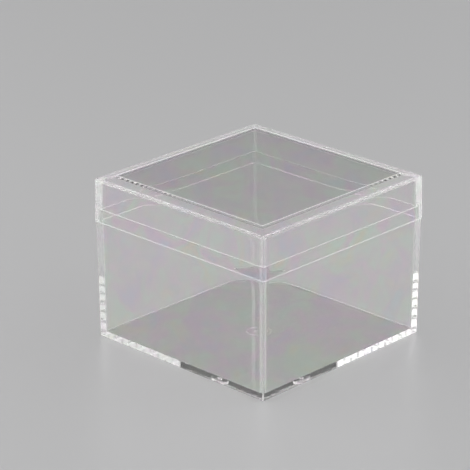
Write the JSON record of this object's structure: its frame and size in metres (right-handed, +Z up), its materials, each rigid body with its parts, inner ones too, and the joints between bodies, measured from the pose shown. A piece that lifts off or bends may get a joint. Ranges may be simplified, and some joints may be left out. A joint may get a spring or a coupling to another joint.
{
  "type": "storage box with lid",
  "caption": "Square clear plastic storage box: a straight-sided tub with a thin neck, closed by a lift-off lid with a bevelled top whose lip laps over the neck.",
  "frame": {"origin": "middle of the underside, on the surface that the box stands on", "axes": "+Z up, X and Y square to the side walls; the four sides are alike"},
  "size_m": [0.1, 0.1, 0.0746],
  "materials": {
    "clear_plastic": "polished, water clear, injection moulded"
  },
  "bodies": {
    "base": {"box_base": "clear_plastic"},
    "lid": {"lid": "clear_plastic"}
  },
  "joints": [
    {"name": "lid_lift", "type": "slide", "parent": "base", "child": "lid", "axis": [0, 0, 1], "range_m": [0, 0.1]}
  ]
}
